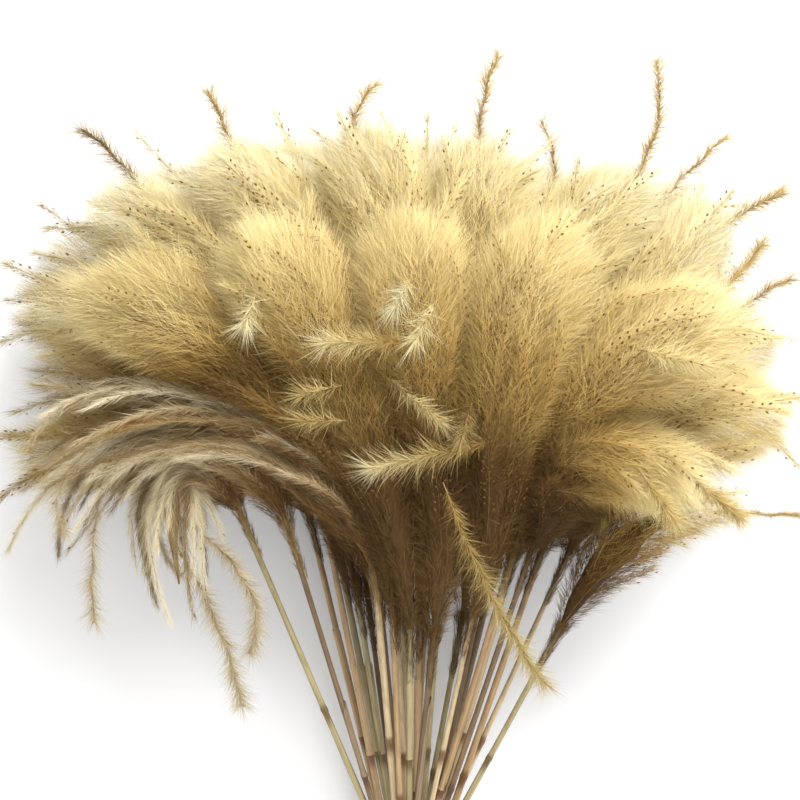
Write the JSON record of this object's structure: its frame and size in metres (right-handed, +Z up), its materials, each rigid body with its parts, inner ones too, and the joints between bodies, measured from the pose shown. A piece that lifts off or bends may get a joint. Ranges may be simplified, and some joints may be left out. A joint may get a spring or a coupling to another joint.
{
  "type": "pampas grass bunch",
  "caption": "Cut and dried bunch of feathery grass plumes on thin straight stems, tied round the waist with plain twine and lying on its side.",
  "frame": {"origin": "on the surface that the bunch lies on, under the middle of its box", "axes": "+Y along the bunch from the cut ends of the stems to the tips of the plumes, +Z up from the surface, +X to the right seen from above"},
  "size_m": [0.422, 0.5876, 0.201],
  "materials": {
    "plume_fluff": "matte",
    "stem_tan": "satin",
    "stem_olive": "satin",
    "stem_dark": "satin",
    "stem_pale": "satin",
    "twine_jute": "matte"
  },
  "bodies": {
    "root": {"plume_01": "plume_fluff", "plume_02": "plume_fluff", "plume_03": "plume_fluff", "plume_04": "plume_fluff", "plume_05": "plume_fluff", "plume_06": "plume_fluff", "plume_07": "plume_fluff", "plume_08": "plume_fluff", "plume_09": "plume_fluff", "plume_10": "plume_fluff", "plume_11": "plume_fluff", "plume_12": "plume_fluff", "plume_13": "plume_fluff", "plume_14": "plume_fluff", "plume_15": "plume_fluff", "plume_16": "plume_fluff", "plume_17": "plume_fluff", "plume_18": "plume_fluff", "plume_19": "plume_fluff", "plume_20": "plume_fluff", "plume_21": "plume_fluff", "plume_22": "plume_fluff", "plume_23": "plume_fluff", "plume_24": "plume_fluff", "plume_25": "plume_fluff", "plume_26": "plume_fluff", "plume_27": "plume_fluff", "stem_01": "stem_tan", "stem_02": "stem_olive", "stem_03": "stem_dark", "stem_04": "stem_pale", "stem_05": "stem_tan", "stem_06": "stem_olive", "stem_07": "stem_dark", "stem_08": "stem_pale", "stem_09": "stem_tan", "stem_10": "stem_olive", "stem_11": "stem_dark", "stem_12": "stem_pale", "stem_13": "stem_tan", "stem_14": "stem_olive", "stem_15": "stem_dark", "stem_16": "stem_pale", "stem_17": "stem_tan", "stem_18": "stem_olive", "stem_19": "stem_dark", "stem_20": "stem_pale", "stem_21": "stem_tan", "stem_22": "stem_olive", "stem_23": "stem_dark", "stem_24": "stem_pale", "stem_25": "stem_tan", "stem_26": "stem_olive", "stem_27": "stem_dark", "twine": "twine_jute"}
  },
  "joints": []
}
